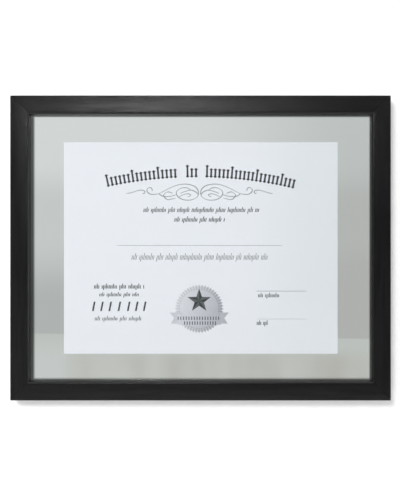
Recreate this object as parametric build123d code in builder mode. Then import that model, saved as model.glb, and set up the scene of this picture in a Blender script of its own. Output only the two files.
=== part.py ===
from build123d import *

import os
from math import floor, sqrt

# Landscape certificate frame: a mitred wood moulding round two panes of glass,
# with one document pinched between the panes, so that it floats in a see-through border.
# Lengths are in millimetres, X to the right seen from the front, Z up, +Y to the wall.
# The origin is where the wall's nail sits when the frame hangs landscape:
# the middle notch of the upper hanger, on the plane of the wall.

# Document and panes
sheet_width = 279.4
sheet_height = 215.9
sheet_thickness = 0.3
pane_width = 355.6
pane_height = 279.4
pane_thickness = 2.0
pane_bevel = 0.3
pane_side_clearance = 0.8
layer_gap = 0.03

# Wood moulding
face_width = 19.0
lip_overlap = 5.6
lip_depth = 10.9
pane_drop = 0.25
face_crown = 0.25
front_arris_radius = 0.9
inner_arris_radius = 2.0
rear_bevel = 0.6
rabbet_bevel = 0.4
mitre_glue_line = 0.1

# V-shaped corner nails, driven into each mitre from the rear
v_nail_leg = 4.2
v_nail_thickness = 0.55
v_nail_height = 7.0
v_nail_drop = 0.3
v_nail_clearance = 0.05
v_nail_apex_shares = (0.48, 0.84)

# Turn buttons that hold the panes in the rabbet
button_eye_radius = 4.1
button_tip_radius = 1.7
button_reach = 8.9
button_thickness = 0.9
button_gap = 0.1
button_setback = 4.5
rib_width = 2.2
rib_height = 0.45
rib_draft = 45
rib_groove_width = 1.3
rib_groove_depth = 0.4
rib_eye_clearance = 0.5
rib_tip_clearance = 0.9
button_stile_share = 0.25
button_rail_share = 0.25

# Pan-head screws, one through each turn button
screw_radius = 1.1
screw_length = 10.0
screw_head_radius = 2.35
screw_head_height = 1.9
screw_head_bevel = 0.8
screw_head_gap = 0.1
screw_pivot_clearance = 0.08
screw_hole_clearance = 0.04
screw_recess_span = 2.6
screw_recess_width = 0.6
screw_recess_depth = 1.1
screw_turns = (12, 71, 38, 5, 52, 27, 84, 63)

# Sawtooth hangers
hanger_length = 45.0
hanger_width = 9.5
hanger_thickness = 0.8
hanger_rise = 1.6
hanger_bridge_length = 29.0
hanger_joggle_length = 2.4
hanger_bend_radius = 0.5
hanger_end_radius = 1.5
tooth_pitch = 2.5
tooth_depth = 1.8
tooth_tip_width = 0.5

# Hanger nails
nail_radius = 0.75
nail_length = 10.0
nail_head_radius = 1.6
nail_head_height = 0.8
nail_head_gap = 0.05
nail_hole_clearance = 0.05
nail_end_distance = 2.6

# Wall bumpers
bumper_radius = 4.5
bumper_flat_radius = 2.8
bumper_rim_height = 0.7
bumper_side_radius = 9.0
bumper_wall_clearance = 0.6
bumper_base_gap = 0.03
bumper_corner_distance = 25.0

# One overrun for cuts that pass through a surface, and one depth past the ends of points in holes
overrun = 1.0
point_clearance = 0.5

# Derived sizes of the moulding
pocket_width = pane_width + 2 * pane_side_clearance
pocket_height = pane_height + 2 * pane_side_clearance
outer_width = pocket_width + 2 * (face_width - lip_overlap)
outer_height = pocket_height + 2 * (face_width - lip_overlap)
land_width = face_width - lip_overlap
rabbet_depth = 2 * pane_thickness + sheet_thickness + 3 * layer_gap + pane_drop

# Depths, from the wall at zero towards the viewer
button_stack = button_gap + button_thickness + screw_head_gap
bumper_height = button_stack + screw_head_height + bumper_wall_clearance
rear_y = -bumper_height
seat_y = rear_y - rabbet_depth
front_y = seat_y - lip_depth
shoulder_y = front_y + face_crown

# Heights: the notch of the upper hanger is at zero
notch_below_edge = land_width / 2 + hanger_width / 2 - tooth_depth
top_z = notch_below_edge
bottom_z = top_z - outer_height
middle_z = (top_z + bottom_z) / 2
outer_x = outer_width / 2

to_wall = Vector(0, 1, 0)
to_viewer = Vector(0, -1, 0)

# Each side: the way inwards, the middle of its outer edge, and its length along that edge
side_inward = {
    "top": Vector(0, 0, -1),
    "bottom": Vector(0, 0, 1),
    "left": Vector(1, 0, 0),
    "right": Vector(-1, 0, 0),
}
side_middle = {
    "top": Vector(0, 0, top_z),
    "bottom": Vector(0, 0, bottom_z),
    "left": Vector(-outer_x, 0, middle_z),
    "right": Vector(outer_x, 0, middle_z),
}
side_length = {
    "top": outer_width,
    "bottom": outer_width,
    "left": outer_height,
    "right": outer_height,
}
# The way along each side: to the right on the rails, and up on the stiles
side_along = {
    "top": Vector(1, 0, 0),
    "bottom": Vector(1, 0, 0),
    "left": Vector(0, 0, 1),
    "right": Vector(0, 0, 1),
}

# Turn buttons: the side that each is on, and how far along it, from its middle
rail_button_distance = button_rail_share * outer_width
stile_button_distance = button_stile_share * outer_height
turn_buttons = {
    "turn_button_top_left": ("top", -rail_button_distance),
    "turn_button_top_right": ("top", rail_button_distance),
    "turn_button_right_upper": ("right", stile_button_distance),
    "turn_button_right_lower": ("right", -stile_button_distance),
    "turn_button_bottom_right": ("bottom", rail_button_distance),
    "turn_button_bottom_left": ("bottom", -rail_button_distance),
    "turn_button_left_lower": ("left", -stile_button_distance),
    "turn_button_left_upper": ("left", stile_button_distance),
}
hangers = {
    "sawtooth_hanger_landscape": "top",
    "sawtooth_hanger_portrait": "left",
}
rails = {
    "top_rail": "top",
    "bottom_rail": "bottom",
    "left_stile": "left",
    "right_stile": "right",
}


def rear_point(side, along, inward, lift=0):
    """A point over a side's rear face: so far along, in from the outer edge, and lifted to the wall."""
    place = side_middle[side] + side_along[side] * along + side_inward[side] * inward
    return place + to_wall * (rear_y + lift)


def button_seat(side, along, lift=0):
    """Plane at a turn button's screw, x towards the panes and z to the wall."""
    place = rear_point(side, along, land_width - button_setback, lift)
    return Plane(origin=place, x_dir=side_inward[side], z_dir=to_wall)


def hanger_seat(side):
    """Plane at the middle of a hanger's strip on the rear face, y outwards and z to the wall."""
    outward = side_inward[side] * -1
    return Plane(origin=rear_point(side, 0, land_width / 2), x_dir=outward.cross(to_wall), z_dir=to_wall)


def nail_seats(side, lift):
    """Planes at the two nails of a side's hanger, lifted from the rear face."""
    reach = hanger_length / 2 - nail_end_distance
    seat = hanger_seat(side).offset(lift)
    return [Plane(origin=seat.from_local_coords((x, 0, 0)), z_dir=to_wall) for x in (-reach, reach)]


def corner_plane(right, top, depth=0):
    """Plane below the rear face at an outer corner, x and y both running inwards along the edges."""
    place = Vector(right * outer_x, rear_y - depth, middle_z + top * outer_height / 2)
    inward_x = Vector(-right, 0, 0)
    inward_z = Vector(0, 0, -top)
    return Plane(origin=place, x_dir=inward_x, z_dir=inward_x.cross(inward_z))


def v_nail_points(share, margin=0):
    """Chevron of a corner nail in its corner's plane: both legs run from the apex to the outer edges."""
    apex = share * land_width
    far = apex + margin
    near = apex - v_nail_thickness - margin
    end = apex - v_nail_leg - margin
    return (far, far), (end, far), (end, near), (near, near), (near, end), (far, end)


def layer_plane(y):
    """Upright plane at the middle of the panes, x to the right, y up, and facing the viewer."""
    return Plane(origin=(0, y, middle_z), x_dir=(1, 0, 0), z_dir=to_viewer)


def write(part, name):
    """Label one finished piece and write it under that name."""
    part.label = name
    export_step(part, f"parts/{name}.step")


corner_signs = [(right, top) for top in (1, -1) for right in (-1, 1)]
os.makedirs("parts", exist_ok=True)

# Rails and stiles: the moulding's section with its slightly crowned face, mitred at both ends,
# with the pockets of the corner nails and the holes of the screws and hanger nails
for name, side in rails.items():
    inward = side_inward[side]
    section_plane = Plane(origin=side_middle[side], x_dir=inward, z_dir=inward.cross(to_wall))
    half_length = side_length[side] / 2
    with BuildPart() as rail:
        with BuildSketch(section_plane) as section:
            with BuildLine():
                ThreePointArc((0, shoulder_y), (face_width / 2, front_y), (face_width, shoulder_y))
                Polyline(
                    (face_width, shoulder_y),
                    (face_width, seat_y),
                    (land_width, seat_y),
                    (land_width, rear_y),
                    (0, rear_y),
                    (0, shoulder_y),
                )
            make_face()
            for corner, bevel in (((0, rear_y), rear_bevel), ((land_width, rear_y), rabbet_bevel)):
                chamfer(section.vertices().sort_by_distance(corner)[0], bevel)
            arrises = (((0, shoulder_y), front_arris_radius), ((face_width, shoulder_y), inner_arris_radius))
            for corner, radius in arrises:
                fillet(section.vertices().sort_by_distance(corner)[0], radius)
        extrude(amount=half_length, both=True)
        for end in (-1, 1):
            way_out = section_plane.z_dir * end
            mitre_point = side_middle[side] + way_out * (half_length - mitre_glue_line / sqrt(2))
            split(bisect_by=Plane(origin=mitre_point, z_dir=inward + way_out), keep=Keep.BOTTOM)
        for right, top in corner_signs:
            with BuildSketch(corner_plane(right, top)):
                for share in v_nail_apex_shares:
                    Polygon(*v_nail_points(share, v_nail_clearance), align=None)
            pocket_depth = v_nail_drop + v_nail_height + v_nail_clearance
            extrude(amount=pocket_depth, dir=to_viewer, mode=Mode.SUBTRACT)
        with Locations(*[button_seat(*place) for place in turn_buttons.values() if place[0] == side]):
            Hole(screw_radius + screw_hole_clearance, screw_length - button_stack + point_clearance)
        if side in hangers.values():
            with Locations(*nail_seats(side, 0)):
                Hole(nail_radius + nail_hole_clearance, nail_length - hanger_thickness + point_clearance)
    write(rail.part, name)

# Corner nails, in their pockets across the mitres
with BuildPart() as corner_v_nails:
    for right, top in corner_signs:
        with BuildSketch(corner_plane(right, top, v_nail_drop)):
            for share in v_nail_apex_shares:
                Polygon(*v_nail_points(share), align=None)
        extrude(amount=v_nail_height, dir=to_viewer)
write(corner_v_nails.part, "corner_v_nails")

# Panes with seamed edges, and the document between them
front_pane_y = seat_y + layer_gap + pane_thickness
sheet_y = front_pane_y + layer_gap + sheet_thickness
back_pane_y = sheet_y + layer_gap + pane_thickness
for name, pane_rear_y in (("front_glass", front_pane_y), ("back_glass", back_pane_y)):
    with BuildPart() as pane:
        with BuildSketch(layer_plane(pane_rear_y)):
            Rectangle(pane_width, pane_height)
        extrude(amount=pane_thickness)
        chamfer(pane.faces().filter_by(Axis.Y).edges(), pane_bevel)
    write(pane.part, name)

with BuildPart() as certificate_sheet:
    with BuildSketch(layer_plane(sheet_y)):
        Rectangle(sheet_width, sheet_height)
    extrude(amount=sheet_thickness)
write(certificate_sheet.part, "certificate_sheet")

# Turn buttons: a plate that narrows from its eye to its tip, stiffened by a pressed rib
rib_start = screw_head_radius + rib_eye_clearance
rib_end = button_reach - rib_tip_clearance
for name, (side, along) in turn_buttons.items():
    underside = button_seat(side, along, button_gap)
    with BuildPart() as button:
        with BuildSketch(underside):
            Circle(button_eye_radius)
            with Locations((button_reach - button_tip_radius, 0)):
                Circle(button_tip_radius)
            make_hull()
            Circle(screw_radius + screw_pivot_clearance, mode=Mode.SUBTRACT)
        extrude(amount=button_thickness)
        with BuildSketch(underside.offset(button_thickness)):
            with Locations(((rib_start + rib_end) / 2, 0)):
                Rectangle(rib_end - rib_start, rib_width)
        extrude(amount=rib_height, taper=rib_draft)
        with BuildSketch(underside):
            with Locations(((rib_start + rib_end) / 2, 0)):
                Rectangle(rib_end - rib_start - rib_width + rib_groove_width, rib_groove_width)
        extrude(amount=rib_groove_depth, taper=rib_draft, mode=Mode.SUBTRACT)
    write(button.part, name)

# Screws: one pan head with a cross recess, placed over each turn button at its own turn
with BuildPart() as one_screw:
    with BuildSketch(Plane.XZ):
        with BuildLine():
            Polyline(
                (0, screw_head_height),
                (0, -screw_length),
                (screw_radius, -screw_length),
                (screw_radius, 0),
                (screw_head_radius, 0),
                (screw_head_radius, screw_head_height),
                close=True,
            )
        make_face()
    revolve(axis=Axis.Z)
    chamfer(one_screw.edges().filter_by(GeomType.CIRCLE).sort_by(Axis.Z)[-1], screw_head_bevel)
    with BuildSketch(Plane.XY.offset(screw_head_height)):
        Rectangle(screw_recess_span, screw_recess_width)
        Rectangle(screw_recess_width, screw_recess_span)
    extrude(amount=-screw_recess_depth, mode=Mode.SUBTRACT)
with BuildPart() as turn_button_screws:
    for place, turn in zip(turn_buttons.values(), screw_turns):
        with Locations(button_seat(*place, button_stack).location * Rotation(0, 0, turn)):
            add(one_screw.part)
write(turn_button_screws.part, "turn_button_screws")

# Sawtooth hangers: a strip on two ears, its bridge joggled off the wood and notched
# along the edge that the wall's nail bears on
notch_count = 2 * floor((hanger_bridge_length / tooth_pitch - 1) / 2) + 1
notch_half_width = (tooth_pitch - tooth_tip_width) / 2
bridge_end = hanger_bridge_length / 2
joggle_end = bridge_end + hanger_joggle_length
outer_bend_radius = hanger_bend_radius + hanger_thickness
for name, side in hangers.items():
    seat = hanger_seat(side)
    elevation = Plane(origin=seat.origin, x_dir=seat.x_dir, z_dir=seat.y_dir * -1)
    with BuildPart() as hanger:
        with BuildSketch(elevation):
            with BuildLine():
                FilletPolyline(
                    (-hanger_length / 2, 0),
                    (-joggle_end, 0),
                    (-bridge_end, hanger_rise),
                    (bridge_end, hanger_rise),
                    (joggle_end, 0),
                    (hanger_length / 2, 0),
                    radius=(outer_bend_radius, hanger_bend_radius, hanger_bend_radius, outer_bend_radius),
                )
                offset(amount=hanger_thickness, side=Side.LEFT)
            make_face()
        extrude(amount=hanger_width / 2, both=True)
        end_faces = hanger.faces().filter_by(Axis(seat.origin, seat.x_dir))
        fillet(end_faces.edges().filter_by(Axis.Y), hanger_end_radius)
        with BuildSketch(seat):
            with Locations((0, -hanger_width / 2)):
                with GridLocations(tooth_pitch, 0, notch_count, 1):
                    Polygon(
                        (-notch_half_width, -overrun),
                        (notch_half_width, -overrun),
                        (notch_half_width, 0),
                        (0, tooth_depth),
                        (-notch_half_width, 0),
                        align=None,
                    )
        extrude(amount=hanger_rise + hanger_thickness + overrun, mode=Mode.SUBTRACT)
        with Locations(*nail_seats(side, hanger_thickness)):
            Hole(nail_radius + nail_hole_clearance, hanger_thickness + overrun)
    write(hanger.part, name)

# Hanger nails
with BuildPart() as one_nail:
    with BuildSketch(Plane.XZ):
        with BuildLine():
            Polyline(
                (0, nail_head_height),
                (0, -nail_length),
                (nail_radius, -nail_length),
                (nail_radius, 0),
                (nail_head_radius, 0),
                (nail_head_radius, nail_head_height),
                close=True,
            )
        make_face()
    revolve(axis=Axis.Z)
with BuildPart() as hanger_nails:
    for side in hangers.values():
        with Locations(*nail_seats(side, hanger_thickness + nail_head_gap)):
            add(one_nail.part)
write(hanger_nails.part, "hanger_nails")

# Wall bumpers: low domes with a flat that lies on the wall
dome_height = bumper_height - bumper_base_gap
dome_shoulder = (bumper_radius, bumper_rim_height)
dome_flat_edge = (bumper_flat_radius, dome_height)
with BuildPart() as one_bumper:
    with BuildSketch(Plane.XZ):
        with BuildLine():
            Polyline(dome_flat_edge, (0, dome_height), (0, 0), (bumper_radius, 0), dome_shoulder)
            RadiusArc(dome_shoulder, dome_flat_edge, -bumper_side_radius)
        make_face()
    revolve(axis=Axis.Z)
bumper_distance = outer_width / 2 - bumper_corner_distance
with BuildPart() as wall_bumpers:
    for side in ("top", "bottom"):
        for along in (-bumper_distance, bumper_distance):
            place = rear_point(side, along, land_width / 2, bumper_base_gap)
            with Locations(Plane(origin=place, z_dir=to_wall)):
                add(one_bumper.part)
write(wall_bumpers.part, "wall_bumpers")
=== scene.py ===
from math import atan2, cos, pi, radians, sin

import bmesh
import bpy
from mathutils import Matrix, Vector


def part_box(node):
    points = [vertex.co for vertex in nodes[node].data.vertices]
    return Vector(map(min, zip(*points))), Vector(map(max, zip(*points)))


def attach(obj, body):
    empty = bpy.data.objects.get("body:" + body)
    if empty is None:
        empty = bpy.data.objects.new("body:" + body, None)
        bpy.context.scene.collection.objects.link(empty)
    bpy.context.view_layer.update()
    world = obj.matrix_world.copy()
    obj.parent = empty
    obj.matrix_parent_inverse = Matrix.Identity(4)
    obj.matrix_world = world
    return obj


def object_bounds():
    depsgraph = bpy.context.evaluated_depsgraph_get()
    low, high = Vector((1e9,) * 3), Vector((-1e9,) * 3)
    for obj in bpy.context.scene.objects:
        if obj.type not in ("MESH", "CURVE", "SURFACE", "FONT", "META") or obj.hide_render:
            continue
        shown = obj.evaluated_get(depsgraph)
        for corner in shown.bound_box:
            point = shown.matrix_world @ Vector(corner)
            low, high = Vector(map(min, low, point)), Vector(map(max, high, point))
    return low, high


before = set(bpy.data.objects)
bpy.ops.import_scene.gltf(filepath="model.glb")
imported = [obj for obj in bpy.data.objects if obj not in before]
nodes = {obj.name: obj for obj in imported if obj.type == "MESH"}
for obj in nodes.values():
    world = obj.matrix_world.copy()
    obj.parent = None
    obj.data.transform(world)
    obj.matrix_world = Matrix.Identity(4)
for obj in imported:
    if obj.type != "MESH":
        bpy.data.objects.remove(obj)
cad_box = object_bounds()
MM = 0.001

# The photograph's frame, and where the front of the moulding lies in it
PHOTO_WIDTH = 400
PHOTO_HEIGHT = 489
OBJECT_WIDTH_PIXELS = 381
OBJECT_MIDDLE_PIXEL = (200.5, 248.0)
CAMERA_DISTANCE = 0.94
CAMERA_TO_THE_RIGHT = 0.02
CAMERA_REACH = (0.05, 50)

# Places read from the frame: the object's middle, and the face that the print lies on
object_low, object_high = cad_box
middle = (object_low + object_high) / 2
front_y = object_low.y
object_width = object_high.x - object_low.x
sheet_low, sheet_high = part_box("certificate_sheet")
sheet_face = sheet_low.y
sheet_top = sheet_high.z

# Thin layers of the print, in the gap between the sheet and the front pane
PRINT_SINK = 0.002 * MM
INK_LIFT = 0.006 * MM
SEAL_LIFT = 0.006 * MM
TAIL_LIFT = 0.009 * MM
FOLD_LIFT = 0.012 * MM
BAND_LIFT = 0.015 * MM
STAR_LIFT = 0.012 * MM
RIBBON_INK_LIFT = 0.018 * MM
PRINT_SHIFT = -0.7 * MM


def srgb(red, green, blue):
    """A colour as seen on screen, 0 to 255 a channel, as a linear colour with full alpha."""
    linear = []
    for value in (red, green, blue):
        share = value / 255
        linear.append(share / 12.92 if share <= 0.04045 else ((share + 0.055) / 1.055) ** 2.4)
    return (*linear, 1.0)


def grey(value):
    return srgb(value, value, value)


class Shader:
    """A material or world node tree, with short ways to add and link nodes."""

    def __init__(self, owner, bare=False):
        owner.use_nodes = True
        self.owner = owner
        self.tree = owner.node_tree
        if bare:
            self.tree.nodes.clear()

    def feed(self, socket, value):
        """Links a node's output into a socket, or sets a plain value on it."""
        if isinstance(value, bpy.types.NodeSocket):
            self.tree.links.new(value, socket)
        else:
            socket.default_value = value

    def node(self, kind, inputs=None, **settings):
        made = self.tree.nodes.new(kind)
        for name, value in settings.items():
            setattr(made, name, value)
        for name, value in (inputs or {}).items():
            self.feed(made.inputs[name], value)
        return made

    def link(self, output, socket):
        self.tree.links.new(output, socket)

    def mix(self, factor, first, second):
        """Colour mix: first where factor is 0, second where it is 1."""
        return self.node("ShaderNodeMix", {0: factor, 6: first, 7: second}, data_type="RGBA").outputs[2]

    def mix_shaders(self, factor, first, second):
        """Shader mix: first where factor is 0, second where it is 1."""
        inputs = {0: factor, 1: first.outputs[0], 2: second.outputs[0]}
        return self.node("ShaderNodeMixShader", inputs)

    def math(self, operation, *values):
        return self.node("ShaderNodeMath", dict(enumerate(values)), operation=operation).outputs[0]

    def ramp(self, value, low, high, start=0.0, end=1.0, smooth=False):
        """value's run from low to high, spread from start to end and held there beyond."""
        inputs = {"Value": value, "From Min": low, "From Max": high, "To Min": start, "To Max": end}
        kind = "SMOOTHSTEP" if smooth else "LINEAR"
        return self.node("ShaderNodeMapRange", inputs, interpolation_type=kind).outputs["Result"]

    def ease(self, value, low, high):
        """0 at low and 1 at high, with soft ends."""
        return self.ramp(value, low, high, smooth=True)

    def noise(self, vector, scale, detail, roughness):
        inputs = {"Vector": vector, "Scale": scale, "Detail": detail, "Roughness": roughness}
        return self.node("ShaderNodeTexNoise", inputs).outputs["Fac"]

    def place(self, squeeze=(1, 1, 1)):
        """Object coordinates in metres, each axis times its squeeze."""
        coordinate = self.node("ShaderNodeTexCoord").outputs["Object"]
        return self.node("ShaderNodeMapping", {"Vector": coordinate, "Scale": squeeze}).outputs["Vector"]

    def axes(self, vector):
        """The x, y and z of a vector."""
        return self.node("ShaderNodeSeparateXYZ", {0: vector}).outputs

    def light_path(self):
        return self.node("ShaderNodeLightPath").outputs

    def normal_sizes(self):
        """How much the surface faces along x, y and z, from either side."""
        normal = self.node("ShaderNodeNewGeometry").outputs["True Normal"]
        size = self.node("ShaderNodeVectorMath", {0: normal}, operation="ABSOLUTE").outputs[0]
        return self.axes(size)

    def squareness(self):
        """1 on a surface that faces along an axis, and less on a bend, a bevel or a rounded arris."""
        sizes = self.normal_sizes()
        return self.math("MAXIMUM", self.math("MAXIMUM", sizes[0], sizes[1]), sizes[2])

    def show(self, surface):
        """Makes a shader node what the material shows."""
        self.node("ShaderNodeOutputMaterial", {"Surface": surface.outputs[0]})
        return self.owner


def bare_material(name):
    return Shader(bpy.data.materials.new(name), bare=True)


def principled(name, **inputs):
    """A new material's Shader and its Principled node, with plain inputs set on the node."""
    shader = Shader(bpy.data.materials.new(name))
    surface = shader.tree.nodes["Principled BSDF"]
    for key, value in inputs.items():
        surface.inputs[key.replace("_", " ")].default_value = value
    return shader, surface


def bump(shader, surface, height, distance, strength):
    inputs = {"Height": height, "Distance": distance, "Strength": strength}
    shader.link(shader.node("ShaderNodeBump", inputs).outputs["Normal"], surface.inputs["Normal"])


# Materials of the moulding, panes and sheet
GRAIN_SQUEEZE = 0.07
GLASS_TINT = (0.985, 0.992, 0.989, 1.0)
GLASS_LIGHT_TINT = (0.962, 0.972, 0.969, 1.0)
# Painted shade on the paper: where it darkens the sheet to the right, and how much less it does so at its
# foot
PAPER_PAINTED_SHADE_STEP = (0.035, 0.115)
PAPER_FOOT_STEP = (-0.250, -0.190)
PAPER_FOOT_SHARE = 0.35


def satin_black_wood(name, grain_axis):
    """Satin black paint on open-grained wood: streaks along one axis, and lighter paint on the arrises, which
    is partly worn thin and partly a painted highlight.
    """
    shader, surface = principled(name, IOR=1.5)
    squeeze = [GRAIN_SQUEEZE if axis == grain_axis else 1.0 for axis in range(3)]
    along = shader.place(squeeze)
    streaks = shader.noise(along, 300, 2.0, 0.45)
    pores = shader.noise(along, 1700, 3.0, 0.7)
    broad = shader.noise(shader.place(), 14, 3.0, 0.5)
    paint = shader.mix(shader.ramp(streaks, 0.36, 0.66), srgb(13, 13, 15), srgb(20, 20, 22))
    paint = shader.mix(shader.ramp(broad, 0.35, 0.7, 0.0, 0.35), paint, srgb(18, 19, 19))
    facing = shader.normal_sizes()[1]
    # Lighter tone on the rounded arrises: partly paint worn thin, partly a painted highlight along the edges
    rounded = shader.ramp(shader.squareness(), 0.999, 0.9)
    arris_wear_and_highlight = shader.math("MULTIPLY", rounded, shader.ramp(facing, 0.02, 0.12))
    bright_edge_share = shader.math("MULTIPLY", arris_wear_and_highlight, shader.ramp(pores, 0.3, 0.62, 0.35, 1.0))
    shader.link(shader.mix(bright_edge_share, paint, srgb(36, 36, 37)), surface.inputs["Base Color"])
    gloss = shader.ramp(streaks, 0.36, 0.64, -0.022, 0.022)
    gloss = shader.math("ADD", gloss, shader.ramp(broad, 0.3, 0.7, 0.185, 0.215))
    dull = shader.ramp(facing, 0.9, 0.5, 0.0, 0.15)
    shader.link(shader.math("ADD", gloss, dull), surface.inputs["Roughness"])
    height = shader.math("ADD", shader.math("MULTIPLY", streaks, 0.6), shader.math("MULTIPLY", pores, 0.4))
    bump(shader, surface, height, 0.25 * MM, 0.45)
    return shader.owner


def clear_glass():
    """Float glass with a faint green body, that lets the light of the lamps and the room through."""
    shader = bare_material("clear_glass")
    glass = shader.node("ShaderNodeBsdfGlass", {"Color": GLASS_TINT, "Roughness": 0.0, "IOR": 1.5})
    haze = shader.node("ShaderNodeBsdfTransparent", {"Color": GLASS_LIGHT_TINT})
    path = shader.light_path()
    seen = shader.mix_shaders(path["Is Diffuse Ray"], glass, haze)
    return shader.show(shader.mix_shaders(path["Is Shadow Ray"], seen, haze))


def document_paper():
    """Smooth white stock with a faint cloud of fibres, and painted shade that darkens it a little to the
    right, least so at its foot.
    """
    shader, surface = principled("document_paper", Roughness=0.82, IOR=1.45)
    cloud = shader.noise(shader.place(), 160, 6.0, 0.6)
    fibres = shader.noise(shader.place((1.0, 1.0, 0.35)), 1900, 4.0, 0.65)
    tone = shader.mix(shader.ramp(cloud, 0.3, 0.7), srgb(244, 245, 253), srgb(248, 248, 255))
    tone = shader.mix(shader.ramp(fibres, 0.55, 0.8, 0.0, 0.25), tone, srgb(236, 240, 247))
    # Painted shade: the sheet's tone goes darker to the right, less so near its foot
    parts = shader.axes(shader.place())
    above_foot = shader.ramp(parts[2], *PAPER_FOOT_STEP, PAPER_FOOT_SHARE, 1.0)
    painted_shade_share = shader.math("MULTIPLY", shader.ease(parts[0], *PAPER_PAINTED_SHADE_STEP), above_foot)
    tone = shader.mix(painted_shade_share, tone, srgb(238, 241, 247))
    shader.link(tone, surface.inputs["Base Color"])
    bump(shader, surface, fibres, 0.02 * MM, 0.5)
    return shader.owner


# Metals: the plating's light and dark tone, its tone where it is rubbed bright, its roughness, and how its
# drawn lines are squeezed and scaled
METALS = {
    "zinc_steel": ((200, 203, 207), (150, 156, 163), (236, 238, 240), 0.30, (0.08, 1, 1), 900),
    "button_steel": ((188, 190, 193), (128, 132, 139), (236, 238, 240), 0.27, (1, 1, 1), 1100),
    "brassed_steel": ((214, 180, 110), (168, 132, 70), (240, 214, 150), 0.30, (1, 1, 1), 1300),
    "blued_steel": ((92, 98, 110), (58, 62, 72), (130, 136, 148), 0.42, (1, 0.1, 1), 900),
}


def plated_steel(name):
    """Steel with a thin plating: patches of tone, fine drawn lines, and bends and bevels rubbed bright."""
    *tones, roughness, squeeze, scale = METALS[name]
    light, dark, polished = (srgb(*tone) for tone in tones)
    shader, surface = principled(name, Metallic=1.0)
    patches = shader.noise(shader.place(), scale * 0.22, 4.0, 0.6)
    lines = shader.noise(shader.place(squeeze), scale, 4.0, 0.6)
    by_patch = shader.ramp(patches, 0.35, 0.65, 0.0, 0.45)
    tone = shader.mix(shader.math("ADD", by_patch, shader.ramp(lines, 0.3, 0.7, 0.0, 0.55)), light, dark)
    bent = shader.ramp(shader.squareness(), 0.99, 0.8)
    bright_edge_share = shader.math("MULTIPLY", bent, shader.ramp(lines, 0.3, 0.6, 0.5, 1.0))
    shader.link(shader.mix(bright_edge_share, tone, polished), surface.inputs["Base Color"])
    gloss = shader.ramp(patches, 0.3, 0.7, roughness - 0.06, roughness + 0.08)
    gloss = shader.math("SUBTRACT", gloss, shader.math("MULTIPLY", bright_edge_share, 0.1))
    shader.link(gloss, surface.inputs["Roughness"])
    bump(shader, surface, lines, 0.03 * MM, 0.6)
    return shader.owner


def black_rubber():
    shader, surface = principled("black_rubber", IOR=1.45)
    speckle = shader.noise(shader.place(), 2600, 3.0, 0.6)
    bloom = shader.noise(shader.place(), 260, 4.0, 0.6)
    tone = shader.mix(shader.ramp(bloom, 0.35, 0.7), srgb(24, 24, 25), srgb(46, 46, 47))
    shader.link(tone, surface.inputs["Base Color"])
    shader.link(shader.ramp(bloom, 0.3, 0.7, 0.62, 0.78), surface.inputs["Roughness"])
    bump(shader, surface, speckle, 0.05 * MM, 0.5)
    return shader.owner


# Inks, each with the two tones that it varies between
INKS = {
    "dark_ink": ((50, 51, 56), (62, 63, 68)),
    "text_ink": ((52, 53, 58), (64, 65, 70)),
    "pale_ink": ((150, 152, 158), (166, 168, 174)),
    "ribbon_ink": ((84, 86, 92), (98, 100, 106)),
    "star_light_ink": ((92, 96, 98), (102, 106, 108)),
    "star_dark_ink": ((54, 58, 60), (64, 68, 70)),
}


def print_ink(name):
    """Ink that lies a little unevenly on the paper."""
    light, dark = (srgb(*tone) for tone in INKS[name])
    shader, surface = principled(name, Roughness=0.7, IOR=1.45)
    mottle = shader.noise(shader.place(), 900, 4.0, 0.6)
    shader.link(shader.mix(shader.ramp(mottle, 0.35, 0.65), light, dark), surface.inputs["Base Color"])
    return shader.owner


def seal_grey(name):
    """Printed grey of the seal: it darkens evenly from the upper left to the lower right."""
    left, right, reach = SEAL_GREYS[name]
    shader, surface = principled(name, Roughness=0.65, IOR=1.45)
    parts = shader.axes(shader.place())
    slope = shader.math("SUBTRACT", parts[0], shader.math("MULTIPLY", parts[2], SEAL_SLOPE))
    seal_slope = PRINT_SHIFT - (sheet_top - SEAL_DOWN) * SEAL_SLOPE
    mottle = shader.noise(shader.place(), 700, 4.0, 0.6)
    blend = shader.ramp(slope, seal_slope - reach, seal_slope + reach)
    blend = shader.math("ADD", blend, shader.ramp(mottle, 0.3, 0.7, -0.08, 0.08))
    shader.link(shader.mix(blend, srgb(*left), srgb(*right)), surface.inputs["Base Color"])
    return shader.owner


# Print: sizes along and down the sheet, from its middle and its top edge
HEADING_GROUPS = ((-95.9 * MM, -23.2 * MM), (-14.6 * MM, -2.2 * MM), (5.1 * MM, 97.1 * MM))
HEADING_APEX = -3.3 * MM
HEADING_RADIUS = 430.0 * MM
HEADING_DOWN = 36.2 * MM
MINIM_PITCH = 4.25 * MM
MINIM_HEIGHT = 10.0 * MM
TALL_MINIM_HEIGHT = 13.4 * MM
TALL_MINIM_EVERY = 6
MINIM_HALF_STEM = 0.92 * MM
NIB_HALF_WIDTH = 1.9 * MM
NIB_HALF_HEIGHT = 1.5 * MM

SEAL_ACROSS = -0.9 * MM
SEAL_DOWN = 170.1 * MM
SEAL_RADIUS = 25.0 * MM
SEAL_TEETH = 48
SEAL_TOOTH_DEPTH = 2.1 * MM
SEAL_RING_RADIUS = 20.0 * MM
SEAL_RING_WIDTH = 0.5 * MM
SEAL_RIDGE_WIDTH = 1.0 * MM
SEAL_RIDGE_SHARE = 0.7
STAR_RAYS = 5
STAR_DOWN = 162.0 * MM
STAR_RADIUS = 12.6 * MM
STAR_WAIST_SHARE = 0.40
BAND_HALF_WIDTH = 22.5 * MM
BAND_TOP = 175.2 * MM
BAND_BOTTOM = 186.0 * MM
BAND_SAG = 1.5 * MM
BAND_STEPS = 12
TAIL_START = 17.0 * MM
TAIL_END = 30.2 * MM
TAIL_TOP = 173.9 * MM
TAIL_BOTTOM = 185.2 * MM
TAIL_NOTCH = 4.6 * MM
TAIL_SLANT_SHARE = 0.25
FOLD_INSET = 1.5 * MM
FOLD_RISE = 0.6 * MM

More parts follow.
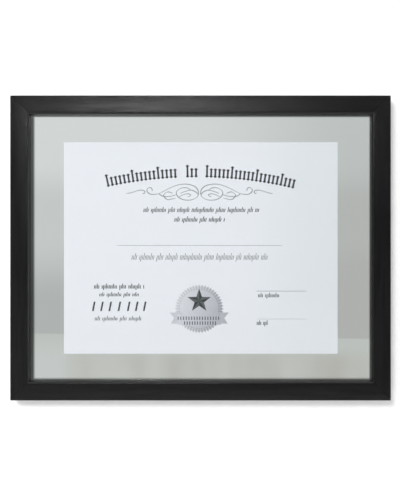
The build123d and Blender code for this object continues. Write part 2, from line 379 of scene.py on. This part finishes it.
# Greys of the seal: tone at the upper left and at the lower right, and how far from the middle these are
SEAL_SLOPE = 0.35
SEAL_GREYS = {
    "seal_grey": ((229, 229, 237), (184, 184, 193), SEAL_RADIUS),
    "seal_ring_grey": ((205, 205, 213), (150, 150, 160), SEAL_RADIUS),
    "ribbon_grey": ((226, 226, 235), (187, 187, 197), SEAL_RADIUS),
    "ribbon_tail_grey": ((216, 216, 225), (188, 189, 198), TAIL_END),
    "ribbon_fold_grey": ((168, 168, 177), (148, 148, 157), TAIL_END),
}


def on_sheet(across, down):
    """A point of the print on the sheet's face, as x and z."""
    return PRINT_SHIFT + across, sheet_top - down


def plate(mesh, outline, lift):
    """A thin flat plate on the sheet, with an outline in points of x and z."""
    back = [mesh.verts.new((x, sheet_face + PRINT_SINK, z)) for x, z in outline]
    front = [mesh.verts.new((x, sheet_face - lift, z)) for x, z in outline]
    mesh.faces.new(front)
    mesh.faces.new(back[::-1])
    for index in range(len(outline)):
        after = (index + 1) % len(outline)
        mesh.faces.new((front[index], back[index], back[after], front[after]))


def print_piece(name, outlines, lift, material):
    """One piece of the print, made of plates, that rides on the frame."""
    mesh = bmesh.new()
    for outline in outlines:
        plate(mesh, outline, lift)
    bmesh.ops.recalc_face_normals(mesh, faces=mesh.faces)
    data = bpy.data.meshes.new(name)
    mesh.to_mesh(data)
    mesh.free()
    piece = bpy.data.objects.new(name, data)
    bpy.context.scene.collection.objects.link(piece)
    data.materials.append(material)
    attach(piece, "frame")


def minim(height):
    """A plain broad-nib stroke: a stem between two lozenges, from its foot up."""
    stem = MINIM_HALF_STEM
    wide, tall = NIB_HALF_WIDTH, NIB_HALF_HEIGHT
    shoulder = 2 * tall - stem * tall / wide
    right = [(wide, tall), (stem, shoulder), (stem, height - shoulder), (wide, height - tall)]
    left = [(-x, y) for x, y in reversed(right)]
    return [(0, 0), *right, (0, height), *left]


def heading_minims():
    """An arched row of minims, in three groups."""
    outlines = []
    centre_down = HEADING_DOWN + HEADING_RADIUS
    for start, end in HEADING_GROUPS:
        count = round((end - start - 2 * NIB_HALF_WIDTH) / MINIM_PITCH) + 1
        pitch = (end - start - 2 * NIB_HALF_WIDTH) / (count - 1)
        for index in range(count):
            angle = (start + NIB_HALF_WIDTH + index * pitch - HEADING_APEX) / HEADING_RADIUS
            tall = index % TALL_MINIM_EVERY == 0
            outline = []
            for x, y in minim(TALL_MINIM_HEIGHT if tall else MINIM_HEIGHT):
                radius = HEADING_RADIUS + y
                across = HEADING_APEX + radius * sin(angle) + x * cos(angle)
                down = centre_down - radius * cos(angle) + x * sin(angle)
                outline.append(on_sheet(across, down))
            outlines.append(outline)
    return outlines


# Rows of plain hatching, in groups of strokes. Each row has its middle and its length,
# how far down the foot of its strokes is, the strokes' usual height, thickness and slant, and their pitch.
GROUP_STROKES = (4, 11, 5, 9, 16, 7, 13)
GROUP_SPACE_SHARE = 2.4
STROKE_REACH_SHARES = (
    (0, 1), (0, 1), (0, 1.5), (0, 1), (0, 0.95), (-0.45, 1), (0, 1), (0, 1.55), (0, 1), (0, 1.05),
)
HATCH_ROWS = {
    "line_one": (0.8 * MM, 117.0 * MM, 71.3 * MM, 3.4 * MM, 0.80 * MM, 12, 1.42 * MM),
    "line_two": (-0.9 * MM, 50.4 * MM, 81.1 * MM, 3.4 * MM, 0.86 * MM, 12, 1.42 * MM),
    "line_three": (-0.9 * MM, 137.8 * MM, 120.0 * MM, 4.4 * MM, 0.52 * MM, 12, 1.42 * MM),
    "left_line_one": (-82.7 * MM, 50.2 * MM, 149.4 * MM, 3.3 * MM, 0.88 * MM, 0, 1.42 * MM),
    "left_line_two": (-83.0 * MM, 39.3 * MM, 157.3 * MM, 2.8 * MM, 0.78 * MM, 9, 1.35 * MM),
    "left_line_four": (-84.1 * MM, 46.4 * MM, 182.0 * MM, 3.0 * MM, 0.70 * MM, 9, 1.35 * MM),
    "right_label_one": (69.9 * MM, 20.6 * MM, 158.3 * MM, 3.0 * MM, 0.74 * MM, 0, 1.20 * MM),
    "right_label_two": (63.4 * MM, 10.2 * MM, 186.6 * MM, 3.2 * MM, 0.74 * MM, 0, 1.20 * MM),
}
BOLD_GROUPS = ((-110.4 * MM, -91.8 * MM), (-86.2 * MM, -80.4 * MM), (-74.7 * MM, -56.6 * MM))
BOLD_DOWN = 172.4 * MM
BOLD_HEIGHT = 9.6 * MM
BOLD_STROKE = 1.75 * MM
BOLD_PITCH = 8.2 * MM
BOLD_SLANT = 11

# Upright strokes in two rows on the ribbon: their ends, and how far down the foot of the row is
RIBBON_ROWS = ((-22.4 * MM, 19.0 * MM, 181.5 * MM), (-15.8 * MM, 15.8 * MM, 186.4 * MM))
RIBBON_STROKE = 1.0 * MM
RIBBON_STROKE_HEIGHT = 3.5 * MM
RIBBON_PITCH = 2.7 * MM
RULES = {
    "name_rule": ((-84.4 * MM, 83.4 * MM), 105.4 * MM, 0.26 * MM),
    "signature_rule": ((57.7 * MM, 108.7 * MM), 152.0 * MM, 0.52 * MM),
    "date_rule": ((57.7 * MM, 108.7 * MM), 180.5 * MM, 0.30 * MM),
}


def slanted_stroke(across, down, low, high, thickness, slant):
    """A straight stroke from low to high above a foot line, whose top leans right by slant degrees."""
    lean = sin(radians(slant)) / cos(radians(slant))
    half = thickness / 2
    corners = ((-half, low), (half, low), (half, high), (-half, high))
    return [on_sheet(across + x + rise * lean, down - rise) for x, rise in corners]


def hatched_row(middle_across, length, down, height, thickness, slant, pitch):
    """Groups of strokes that fill a row, spread so that they end where the row does."""
    places = []
    reach = 0.0
    group = 0
    while reach < length:
        for _ in range(GROUP_STROKES[group % len(GROUP_STROKES)]):
            places.append(reach)
            reach += pitch
        reach += pitch * (GROUP_SPACE_SHARE - 1)
        group += 1
    places = [place for place in places if place <= length]
    stretch = length / places[-1]
    start = middle_across - length / 2
    outlines = []
    for index, place in enumerate(places):
        low, high = STROKE_REACH_SHARES[index % len(STROKE_REACH_SHARES)]
        across = start + place * stretch
        outlines.append(slanted_stroke(across, down, low * height, high * height, thickness, slant))
    return outlines


def bold_strokes():
    outlines = []
    for start, end in BOLD_GROUPS:
        count = round((end - start - BOLD_STROKE) / BOLD_PITCH) + 1
        for index in range(count):
            share = index / (count - 1) if count > 1 else 1 / 2
            across = start + BOLD_STROKE / 2 + share * (end - start - BOLD_STROKE)
            outlines.append(slanted_stroke(across, BOLD_DOWN, 0.0, BOLD_HEIGHT, BOLD_STROKE, BOLD_SLANT))
    return outlines


def ribbon_strokes():
    outlines = []
    for start, end, down in RIBBON_ROWS:
        count = round((end - start) / RIBBON_PITCH) + 1
        for index in range(count):
            across = start + (end - start) * index / (count - 1)
            outlines.append(slanted_stroke(across, down, 0.0, RIBBON_STROKE_HEIGHT, RIBBON_STROKE, 0))
    return outlines


def rule_outline(ends, down, thickness):
    corners = ((ends[0], 1), (ends[1], 1), (ends[1], -1), (ends[0], -1))
    return [on_sheet(across, down + side * thickness / 2) for across, side in corners]


# Pen flourish under the heading: one half's strokes, in millimetres from its own middle, x and up.
# Each stroke is a smooth line through its points, and the other half is its mirror image.
FLOURISH_SHIFT = -0.5 * MM
FLOURISH_DOWN = 52.6 * MM
FLOURISH_STEPS = 5
PEN_THIN = 0.52 * MM
PEN_THICK = 1.05 * MM
PEN_ANGLE = radians(35)
FLOURISH_STROKES = {
    "tail": (
        (-74.8, 0.1), (-70.6, 0.9), (-66.8, 2.0), (-62.8, 3.3), (-59.0, 3.7), (-56.0, 2.6), (-56.3, 0.3),
        (-58.4, 0.8),
    ),
    "curl": (
        (-48.4, 2.6), (-48.5, 4.6), (-50.0, 6.3), (-52.4, 5.8), (-53.8, 3.8), (-52.9, 1.4), (-50.0, -0.4),
        (-45.6, -0.6), (-41.7, 0.1),
    ),
    "great_loop": (
        (-41.7, 0.1), (-37.5, 2.0), (-29.5, 6.2), (-21.5, 9.1), (-13.5, 9.8), (-5.6, 7.8), (-1.5, 3.2),
        (-2.0, -2.7), (-8.2, -6.2), (-16.3, -6.1), (-22.2, -2.9), (-23.5, 2.1), (-18.6, 5.8), (-12.6, 5.9),
        (-9.4, 4.0),
    ),
    "upper_leaf": ((-20.0, 0.3), (-15.9, 1.9), (-8.9, 3.7), (-3.4, 1.5), (-1.8, -0.8)),
    "inner_leaf": (
        (-21.4, -3.4), (-18.0, -1.7), (-15.0, -0.5), (-11.5, -0.1), (-9.2, -1.0), (-9.8, -2.4), (-12.2, -3.0),
    ),
    "under_leaf": ((-41.7, 0.1), (-37.5, -2.6), (-30.5, -2.7), (-23.4, -0.9)),
    "under_loop": (
        (-27.5, 0.4), (-32.3, 1.9), (-36.4, -0.7), (-36.2, -2.9), (-34.2, -5.1), (-31.4, -6.0), (-24.0, -4.3),
    ),
}


def smooth_line(points, steps):
    """Points along a Catmull-Rom curve through the given points."""
    padded = [points[0], *points, points[-1]]
    line = []
    for before, start, end, after in zip(padded, padded[1:], padded[2:], padded[3:]):
        for step in range(steps):
            t = step / steps
            weights = (
                (-t + 2 * t**2 - t**3) / 2,
                (2 - 5 * t**2 + 3 * t**3) / 2,
                (t + 4 * t**2 - 3 * t**3) / 2,
                (t**3 - t**2) / 2,
            )
            corners = (before, start, end, after)
            line.append(tuple(sum(w * p[axis] for w, p in zip(weights, corners)) for axis in (0, 1)))
    line.append(tuple(points[-1]))
    return line


def pen_stroke(line):
    """The outline that a broad pen leaves along a line, thin at both ends."""
    left, right = [], []
    last = len(line) - 1
    for index, (x, y) in enumerate(line):
        ahead, behind = line[min(index + 1, last)], line[max(index - 1, 0)]
        heading = atan2(ahead[1] - behind[1], ahead[0] - behind[0])
        ends = min(1.0, 8 * min(index, last - index) / last + 0.4)
        half = (PEN_THIN + (PEN_THICK - PEN_THIN) * abs(sin(heading - PEN_ANGLE))) * ends / 2
        left.append((x - half * sin(heading), y + half * cos(heading)))
        right.append((x + half * sin(heading), y - half * cos(heading)))
    return left, right


def flourish_outlines():
    """Short four-sided plates along each stroke, so that crossings stay clean, and their mirror images."""
    outlines = []
    for points in FLOURISH_STROKES.values():
        line = smooth_line([(x * MM, y * MM) for x, y in points], FLOURISH_STEPS)
        left, right = pen_stroke(line)
        for index in range(len(line) - 1):
            quad = (right[index], right[index + 1], left[index + 1], left[index])
            outlines.append([on_sheet(FLOURISH_SHIFT + x, FLOURISH_DOWN - y) for x, y in quad])
            outlines.append([on_sheet(FLOURISH_SHIFT - x, FLOURISH_DOWN - y) for x, y in reversed(quad)])
    return outlines


# Seal: a serrated disc, a ring with ridges outside it, a plain star, and a ribbon with plain strokes
def seal_point(radius, angle, down=SEAL_DOWN):
    return on_sheet(SEAL_ACROSS + radius * sin(angle), down - radius * cos(angle))


def seal_disc():
    outline = []
    for tooth in range(SEAL_TEETH):
        turn = 2 * pi * tooth / SEAL_TEETH
        outline.append(seal_point(SEAL_RADIUS, turn))
        outline.append(seal_point(SEAL_RADIUS - SEAL_TOOTH_DEPTH, turn + pi / SEAL_TEETH))
    return [outline[::-1]]


def seal_ring():
    """The ring and the ridges outside it, one at every tooth."""
    outlines = []
    inner, outer = SEAL_RING_RADIUS - SEAL_RING_WIDTH / 2, SEAL_RING_RADIUS + SEAL_RING_WIDTH / 2
    far = SEAL_RADIUS - SEAL_TOOTH_DEPTH * SEAL_RIDGE_SHARE
    half = SEAL_RIDGE_WIDTH / 2
    for tooth in range(SEAL_TEETH):
        turn = 2 * pi * tooth / SEAL_TEETH
        after = 2 * pi * (tooth + 1) / SEAL_TEETH
        arc = ((inner, turn), (inner, after), (outer, after), (outer, turn))
        ridge = (
            (outer, turn - half / outer), (outer, turn + half / outer), (far, turn + half / far),
            (far, turn - half / far),
        )
        for corners in (arc, ridge):
            outlines.append([seal_point(radius, angle) for radius, angle in corners])
    return outlines


def star_facets(side):
    """The star's left or right facets: each ray is split along its middle."""
    facets = []
    centre = on_sheet(SEAL_ACROSS, STAR_DOWN)
    for ray in range(STAR_RAYS):
        tip_angle = 2 * pi * ray / STAR_RAYS
        waist_angle = tip_angle + side * pi / STAR_RAYS
        tip = seal_point(STAR_RADIUS, tip_angle, STAR_DOWN)
        waist = seal_point(STAR_RADIUS * STAR_WAIST_SHARE, waist_angle, STAR_DOWN)
        facets.append([centre, tip, waist])
    return facets


def ribbon_edge(across, down):
    """A point on the ribbon's curve, which sags a little in its middle."""
    share = across / BAND_HALF_WIDTH
    return on_sheet(SEAL_ACROSS + across, down + BAND_SAG * (1 - share**2))


def ribbon_band():
    xs = [BAND_HALF_WIDTH * (2 * step / BAND_STEPS - 1) for step in range(BAND_STEPS + 1)]
    return [[ribbon_edge(x, BAND_BOTTOM) for x in xs] + [ribbon_edge(x, BAND_TOP) for x in reversed(xs)]]


def ribbon_tails():
    outlines = []
    for side in (-1, 1):
        corners = (
            (TAIL_START, TAIL_BOTTOM),
            (TAIL_END - TAIL_NOTCH * TAIL_SLANT_SHARE, TAIL_BOTTOM),
            (TAIL_END - TAIL_NOTCH, (TAIL_TOP + TAIL_BOTTOM) / 2),
            (TAIL_END, TAIL_TOP),
            (TAIL_START, TAIL_TOP),
        )
        outlines.append([on_sheet(SEAL_ACROSS + side * across, down) for across, down in corners])
    return outlines


def ribbon_folds():
    """Small dark triangles where the ribbon turns back behind itself."""
    outlines = []
    for side in (-1, 1):
        corners = (
            (TAIL_START + FOLD_INSET, BAND_BOTTOM),
            (BAND_HALF_WIDTH, BAND_BOTTOM),
            (TAIL_START + FOLD_INSET, TAIL_BOTTOM - FOLD_RISE),
        )
        outlines.append([on_sheet(SEAL_ACROSS + side * across, down) for across, down in corners])
    return outlines


def make_print():
    ink = {name: print_ink(name) for name in INKS}
    seal = {name: seal_grey(name) for name in SEAL_GREYS}
    print_piece("heading_strokes", heading_minims(), INK_LIFT, ink["dark_ink"])
    print_piece("pen_flourish", flourish_outlines(), INK_LIFT, ink["pale_ink"])
    for name, row in HATCH_ROWS.items():
        print_piece("hatch_" + name, hatched_row(*row), INK_LIFT, ink["text_ink"])
    print_piece("bold_strokes", bold_strokes(), INK_LIFT, ink["dark_ink"])
    for name, (ends, down, thickness) in RULES.items():
        tone = ink["text_ink" if name == "name_rule" else "pale_ink"]
        print_piece(name, [rule_outline(ends, down, thickness)], INK_LIFT, tone)
    print_piece("seal_disc", seal_disc(), SEAL_LIFT, seal["seal_grey"])
    print_piece("seal_ring", seal_ring(), TAIL_LIFT, seal["seal_ring_grey"])
    print_piece("seal_ribbon_tails", ribbon_tails(), TAIL_LIFT, seal["ribbon_tail_grey"])
    print_piece("seal_ribbon_folds", ribbon_folds(), FOLD_LIFT, seal["ribbon_fold_grey"])
    print_piece("seal_ribbon_band", ribbon_band(), BAND_LIFT, seal["ribbon_grey"])
    print_piece("seal_ribbon_strokes", ribbon_strokes(), RIBBON_INK_LIFT, ink["ribbon_ink"])
    print_piece("seal_star_light", star_facets(-1), STAR_LIFT, ink["star_light_ink"])
    print_piece("seal_star_dark", star_facets(1), STAR_LIFT, ink["star_dark_ink"])


def give(node, material):
    """Puts a material on every slot of a CAD node."""
    data = nodes[node].data
    if not data.materials:
        data.materials.append(material)
    for index in range(len(data.materials)):
        data.materials[index] = material


def dress_cad():
    along_x = satin_black_wood("satin_black_wood_rails", 0)
    along_z = satin_black_wood("satin_black_wood_stiles", 2)
    glass = clear_glass()
    metal = {name: plated_steel(name) for name in METALS}
    materials = {
        "top_rail": along_x,
        "bottom_rail": along_x,
        "left_stile": along_z,
        "right_stile": along_z,
        "front_glass": glass,
        "back_glass": glass,
        "certificate_sheet": document_paper(),
        "turn_button_screws": metal["zinc_steel"],
        "sawtooth_hanger_landscape": metal["zinc_steel"],
        "sawtooth_hanger_portrait": metal["zinc_steel"],
        "hanger_nails": metal["brassed_steel"],
        "corner_v_nails": metal["blued_steel"],
        "wall_bumpers": black_rubber(),
    }
    for name in nodes:
        give(name, materials.get(name, metal["button_steel"]))


# The wall and the floor
WALL_HALF_SIZE = 1.6
WALL_BEHIND = 0.5 * MM
FLOOR_BELOW = 0.85
WALL_PAINT = (0.90, 0.90, 0.90, 1.0)
WALL_LIFT = 0.29
FLOOR_PAINT = (0.86, 0.86, 0.85, 1.0)
WHITE = (1, 1, 1, 1)
THROUGH_GLASS = grey(205)

# The studio that the panes show in the wall's place, as painted light and shade: tones above and below a soft
# horizon, lighter at the upper left
HORIZON_Z = -0.2350
HORIZON_TILT = 0.016
HORIZON_SOFTNESS = 0.9 * MM
BEHIND_UPPER_LEFT = srgb(227, 229, 229)
BEHIND_UPPER_RIGHT = srgb(202, 205, 204)
BEHIND_LOWER_LEFT = srgb(188, 190, 189)
BEHIND_LOWER_RIGHT = srgb(189, 189, 187)
BEHIND_FLOOR_LIGHT = srgb(204, 205, 201)
BEHIND_FLOOR_DARK = srgb(193, 191, 186)
BEHIND_FLOOR_LEFT = srgb(206, 209, 209)
BEHIND_FLOOR_FAR = srgb(203, 206, 203)
RIGHT_STEP = (-0.02, 0.17)
LOWER_STEPS = ((-0.055, -0.098, 0.42), (-0.135, -0.200, 0.58))
FLOOR_LEFT_STEP = (-0.128, -0.146)
FLOOR_FAR_STEP = (-0.262, -0.245)

# Shade close behind the lip: where it starts and ends, inwards from each side of the opening
OPENING_HALF_WIDTH = 0.173
OPENING_TOP = -0.00935
OPENING_BOTTOM = -0.27915
BEHIND_SHADOW = (0.12, 0.125, 0.12, 1.0)
LEFT_SHADE = (0.4 * MM, 3.4 * MM)
RIGHT_SHADE = (-1.2 * MM, 0.7 * MM)
TOP_SHADE = (-0.7 * MM, 1.4 * MM)
BOTTOM_SHADE = (-0.9 * MM, 2.5 * MM)

# How much of the studio the lip's gloss shows at each side of the opening, and how far in that reaches
GLOSS_REACH = 24 * MM
TOP_GLOSS = 0.75
TOP_GLOSS_STEP = (-0.09, 0.12)
TOP_GLOSS_RIGHT_SHARE = 0.30
BOTTOM_GLOSS = 0.45
LEFT_GLOSS = 0.33
RIGHT_GLOSS = 0.35

# Lamps: place from the object's middle, width and height, level, and whether gloss shows the lamp
LAMPS = {
    "key_lamp": ((-0.80, -2.8, 1.18), (0.8, 0.75), 0.55, False),
    "left_fill_lamp": ((-1.15, -1.5, 0.75), (0.8, 0.8), 0.20, False),
    "rear_left_lamp": ((-1.1, 1.9, 1.0), (0.9, 0.9), 0.42, False),
    "rear_right_lamp": ((1.4, 1.7, 0.4), (0.9, 0.9), 0.3, False),
    "rail_glint_lamp": ((-0.29, -4.0, 0.75), (0.62, 0.08), 0.029, True),
    "broad_glint_lamp": ((-0.45, -4.0, 0.75), (1.6, 0.08), 0.0068, True),
}
AMBIENT_LEVEL = 0.22

# The room around, as gloss shows it: a grey from left to right, then soft steps along an axis of the
# direction, 0 across or 2 up. A step has its two ends and the grey past the second. A grey that changes
# across has its left and right ends, and the run between them.
ROOM_TONE = (122, 80)
ROOM_ACROSS = (-0.45, 0.45)
ROOM_STEPS = (
    (2, (0.03, 0.15), (116, 142), (0.0, 0.2)),
    (2, (-0.095, -0.11), (168, 101), (-0.2, 0.16)),
    (0, (-0.40, -0.55), 70),
    (0, (0.42, 0.60), 240),
    (2, (0.42, 0.65), 225),
)

# Behind the frame: a grey from below to above, its steps, and where this part of the room sets in
REAR_TONE = (120, 220)
REAR_UP = (-0.45, 0.35)
REAR_STEPS = (
    (2, (0.45, 0.55), 255),
    (2, (-0.40, -0.60), 70),
)
REAR_START = (0.15, 0.5)


def flat_piece(name, corners, material):
    data = bpy.data.meshes.new(name)
    data.from_pydata(corners, [], [(0, 1, 2, 3)])
    piece = bpy.data.objects.new(name, data)
    bpy.context.scene.collection.objects.link(piece)
    data.materials.append(material)
    return piece


def studio_tones(shader, x, z):
    """What the panes show of the studio, as painted light and shade lighter at the upper left, without the
    painted shade behind the lip.
    """
    right = shader.ease(x, *RIGHT_STEP)
    steps = [shader.ramp(z, start, end, 0.0, share, smooth=True) for start, end, share in LOWER_STEPS]
    lower = shader.math("ADD", *steps)
    left_colour = shader.mix(lower, BEHIND_UPPER_LEFT, BEHIND_LOWER_LEFT)
    right_colour = shader.mix(shader.ramp(lower, 0.0, 0.6), BEHIND_UPPER_RIGHT, BEHIND_LOWER_RIGHT)
    above = shader.mix(right, left_colour, right_colour)
    bands = shader.noise(shader.place((1.0, 1.0, 0.3)), 26, 2.0, 0.5)
    below = shader.mix(shader.ramp(bands, 0.35, 0.65), BEHIND_FLOOR_LIGHT, BEHIND_FLOOR_DARK)
    below = shader.mix(shader.ease(x, *FLOOR_LEFT_STEP), below, BEHIND_FLOOR_LEFT)
    below = shader.mix(shader.ease(z, *FLOOR_FAR_STEP), below, BEHIND_FLOOR_FAR)
    height = shader.math("ADD", z, shader.math("MULTIPLY", x, HORIZON_TILT))
    side = shader.ease(height, HORIZON_Z - HORIZON_SOFTNESS, HORIZON_Z + HORIZON_SOFTNESS)
    return shader.mix(side, below, above)


def lip_shade(shader, x, z):
    """Dark close behind the lip on each side of the opening, and white inside."""
    from_left = shader.ease(x, *(-OPENING_HALF_WIDTH + inwards for inwards in LEFT_SHADE))
    from_right = shader.ease(x, *(OPENING_HALF_WIDTH - inwards for inwards in RIGHT_SHADE))
    from_top = shader.ease(z, *(OPENING_TOP - inwards for inwards in TOP_SHADE))
    from_bottom = shader.ease(z, *(OPENING_BOTTOM + inwards for inwards in BOTTOM_SHADE))
    across = shader.math("MULTIPLY", from_left, from_right)
    open_share = shader.math("MULTIPLY", across, shader.math("MULTIPLY", from_top, from_bottom))
    return shader.mix(open_share, BEHIND_SHADOW, WHITE)


def studio_strength(shader, x, z, path):
    """1 straight through the panes, and in the lip's gloss the level of the nearest side, or nothing."""
    by_gloss = shader.math("GREATER_THAN", path["Glossy Depth"], 0.5)
    top_ends = (TOP_GLOSS, TOP_GLOSS * TOP_GLOSS_RIGHT_SHARE)
    sides = (
        (z, OPENING_TOP, -GLOSS_REACH, shader.ramp(x, *TOP_GLOSS_STEP, *top_ends)),
        (z, OPENING_BOTTOM, GLOSS_REACH, BOTTOM_GLOSS),
        (x, -OPENING_HALF_WIDTH, GLOSS_REACH, LEFT_GLOSS),
        (x, OPENING_HALF_WIDTH, -GLOSS_REACH, RIGHT_GLOSS),
    )
    in_gloss = 0.0
    for place, edge, reach, level in sides:
        nearness = shader.ease(place, edge + reach, edge)
        in_gloss = shader.math("MAXIMUM", in_gloss, shader.math("MULTIPLY", nearness, level))
    straight = shader.math("SUBTRACT", 1.0, by_gloss)
    return shader.math("ADD", straight, shader.math("MULTIPLY", by_gloss, in_gloss))


def wall_material():
    """White wall that keeps the object's shadow; the panes show it as a soft grey-green studio of painted
    light and shade.
    """
    shader = bare_material("studio_wall")
    x, _, z = shader.axes(shader.place())
    path = shader.light_path()
    tones = {0: 1.0, 6: studio_tones(shader, x, z), 7: lip_shade(shader, x, z)}
    studio = shader.node("ShaderNodeMix", tones, data_type="RGBA", blend_type="MULTIPLY")
    strength = studio_strength(shader, x, z, path)
    seen = shader.node("ShaderNodeEmission", {"Color": studio.outputs[2], "Strength": strength})
    paint = shader.node("ShaderNodeBsdfDiffuse", {"Color": WALL_PAINT})
    lift = shader.node("ShaderNodeEmission", {"Color": WHITE, "Strength": WALL_LIFT})
    lit = shader.node("ShaderNodeAddShader", {0: paint.outputs[0], 1: lift.outputs[0]})
    through = shader.mix_shaders(path["Is Transmission Ray"], lit, seen)
    clear = shader.node("ShaderNodeBsdfTransparent")
    back = shader.node("ShaderNodeNewGeometry").outputs["Backfacing"]
    return shader.show(shader.mix_shaders(back, through, clear))


def floor_material():
    """Pale matt floor that bounces light up; the camera sees it as white as the rest of the background."""
    shader = bare_material("studio_floor")
    path = shader.light_path()
    matt = shader.node("ShaderNodeBsdfDiffuse", {"Color": FLOOR_PAINT})
    white = shader.node("ShaderNodeEmission", {"Color": WHITE, "Strength": 1.0})
    through = shader.node("ShaderNodeEmission", {"Color": THROUGH_GLASS, "Strength": 1.0})
    seen = shader.mix_shaders(path["Is Camera Ray"], matt, white)
    return shader.show(shader.mix_shaders(path["Is Transmission Ray"], seen, through))


def make_stage():
    side, y = WALL_HALF_SIZE, WALL_BEHIND
    floor_z = object_low.z - FLOOR_BELOW
    top = middle.z + side
    wall_corners = [(-side, y, floor_z), (side, y, floor_z), (side, y, top), (-side, y, top)]
    wall = flat_piece("studio_wall", wall_corners, wall_material())
    wall.visible_diffuse = False
    wall.visible_glossy = False
    wall.visible_shadow = False
    across, along = 2 * side, 3 * side
    corners = ((-across, -along), (across, -along), (across, along), (-across, along))
    floor_corners = [(*corner, floor_z) for corner in corners]
    flat_piece("studio_floor", floor_corners, floor_material())


def area_lamp(name, offset, size, level, in_gloss):
    """A soft lamp aimed at the object's middle. Level 1 alone would render a facing white as white."""
    data = bpy.data.lights.new(name, "AREA")
    data.shape = "RECTANGLE"
    data.size, data.size_y = size
    distance = Vector(offset).length
    data.energy = level * pi * pi * distance**2
    lamp = bpy.data.objects.new(name, data)
    lamp.location = middle + Vector(offset)
    lamp.rotation_mode = "QUATERNION"
    lamp.rotation_quaternion = (-Vector(offset)).to_track_quat("-Z", "Y")
    bpy.context.scene.collection.objects.link(lamp)
    lamp.visible_camera = False
    lamp.visible_transmission = False
    lamp.visible_glossy = in_gloss


def make_lights():
    for name, values in LAMPS.items():
        area_lamp(name, *values)


def add_room_steps(shader, parts, colour, steps):
    """The colour with each step's grey blended over it in turn."""
    for axis, ends, tone, *run in steps:
        if run:
            left, right = tone
            beyond = shader.mix(shader.ramp(parts[0], *run[0]), grey(left), grey(right))
        else:
            beyond = grey(tone)
        colour = shader.mix(shader.ease(parts[axis], *ends), colour, beyond)
    return colour


def make_world():
    """White to the camera, an even glow on the object, and a soft studio in its glass and gloss."""
    world = bpy.data.worlds.new("studio_world")
    bpy.context.scene.world = world
    shader = Shader(world, bare=True)
    parts = shader.axes(shader.node("ShaderNodeTexCoord").outputs["Generated"])
    mirrored = shader.mix(shader.ease(parts[0], *ROOM_ACROSS), *map(grey, ROOM_TONE))
    mirrored = add_room_steps(shader, parts, mirrored, ROOM_STEPS)
    rear_glow = shader.mix(shader.ease(parts[2], *REAR_UP), *map(grey, REAR_TONE))
    rear_glow = add_room_steps(shader, parts, rear_glow, REAR_STEPS)
    mirrored = shader.mix(shader.ease(parts[1], *REAR_START), mirrored, rear_glow)
    path = shader.light_path()
    straight = shader.math("LESS_THAN", path["Glossy Depth"], 0.5)
    through_glass = shader.math("MULTIPLY", path["Is Transmission Ray"], straight)
    mirrored = shader.mix(through_glass, mirrored, THROUGH_GLASS)
    lit = shader.math("GREATER_THAN", path["Diffuse Depth"], 0.5)
    colour = shader.mix(lit, mirrored, (AMBIENT_LEVEL, AMBIENT_LEVEL, AMBIENT_LEVEL, 1.0))
    colour = shader.mix(path["Is Camera Ray"], colour, WHITE)
    background = shader.node("ShaderNodeBackground", {"Color": colour, "Strength": 1.0})
    shader.node("ShaderNodeOutputWorld", {"Surface": background.outputs[0]})


def make_camera():
    """Square to the frame, a little to its right, with a small shift for its place in the picture."""
    pixel = object_width / OBJECT_WIDTH_PIXELS
    data = bpy.data.cameras.new("camera")
    data.lens = data.sensor_width * CAMERA_DISTANCE / (PHOTO_HEIGHT * pixel)
    across = OBJECT_MIDDLE_PIXEL[0] - PHOTO_WIDTH / 2
    down = OBJECT_MIDDLE_PIXEL[1] - PHOTO_HEIGHT / 2
    data.shift_x = -(CAMERA_TO_THE_RIGHT / pixel + across) / PHOTO_HEIGHT
    data.clip_start, data.clip_end = CAMERA_REACH
    camera = bpy.data.objects.new("camera", data)
    camera.location = (middle.x + CAMERA_TO_THE_RIGHT, front_y - CAMERA_DISTANCE, middle.z + down * pixel)
    camera.rotation_euler = (pi / 2, 0, 0)
    bpy.context.scene.collection.objects.link(camera)
    bpy.context.scene.camera = camera


bpy.context.scene.view_settings.view_transform = "Standard"
make_camera()
make_stage()
make_world()
make_lights()
dress_cad()
make_print()

bpy.context.view_layer.update()
